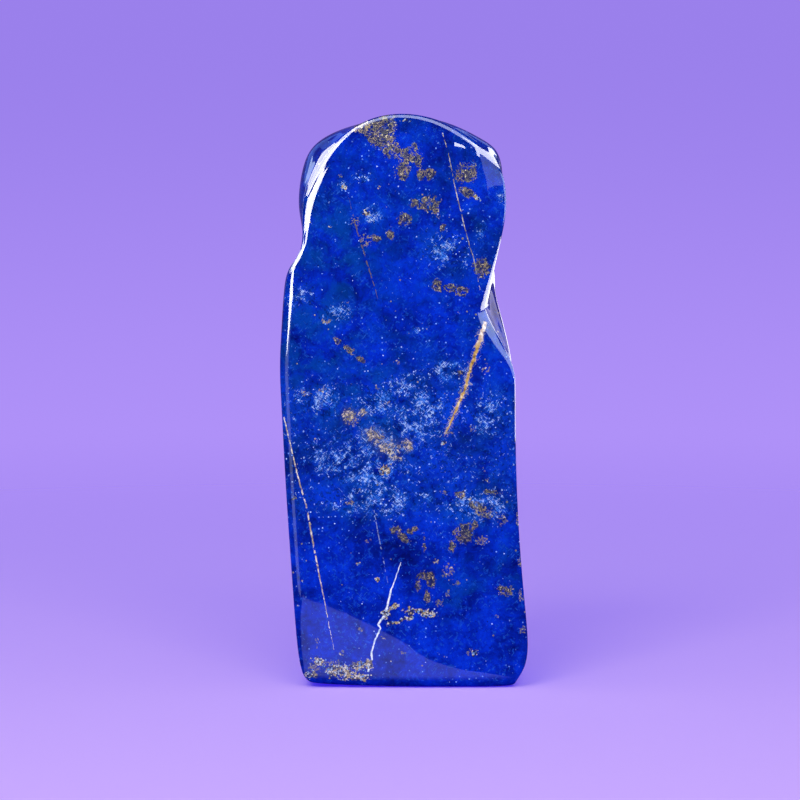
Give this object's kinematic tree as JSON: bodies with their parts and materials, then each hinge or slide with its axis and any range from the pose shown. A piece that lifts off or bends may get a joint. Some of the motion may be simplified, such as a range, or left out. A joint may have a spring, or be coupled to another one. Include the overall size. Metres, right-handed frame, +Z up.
{
  "type": "lapis lazuli freeform",
  "caption": "Tall polished freeform of deep blue lapis lazuli with golden pyrite flecks and pale veins, a notched side and a flat base to stand on.",
  "frame": {"origin": "centre of the stone's box at the level of its flat base", "axes": "+Z up along the stone's height, the broad polished face looks towards -Y, +X to the right of that face"},
  "size_m": [0.0779, 0.0432, 0.1802],
  "materials": {
    "polished_lapis": "high gloss hand polish, ultramarine with pyrite and calcite"
  },
  "bodies": {
    "root": {"lapis_lazuli_freeform": "polished_lapis"}
  },
  "joints": []
}
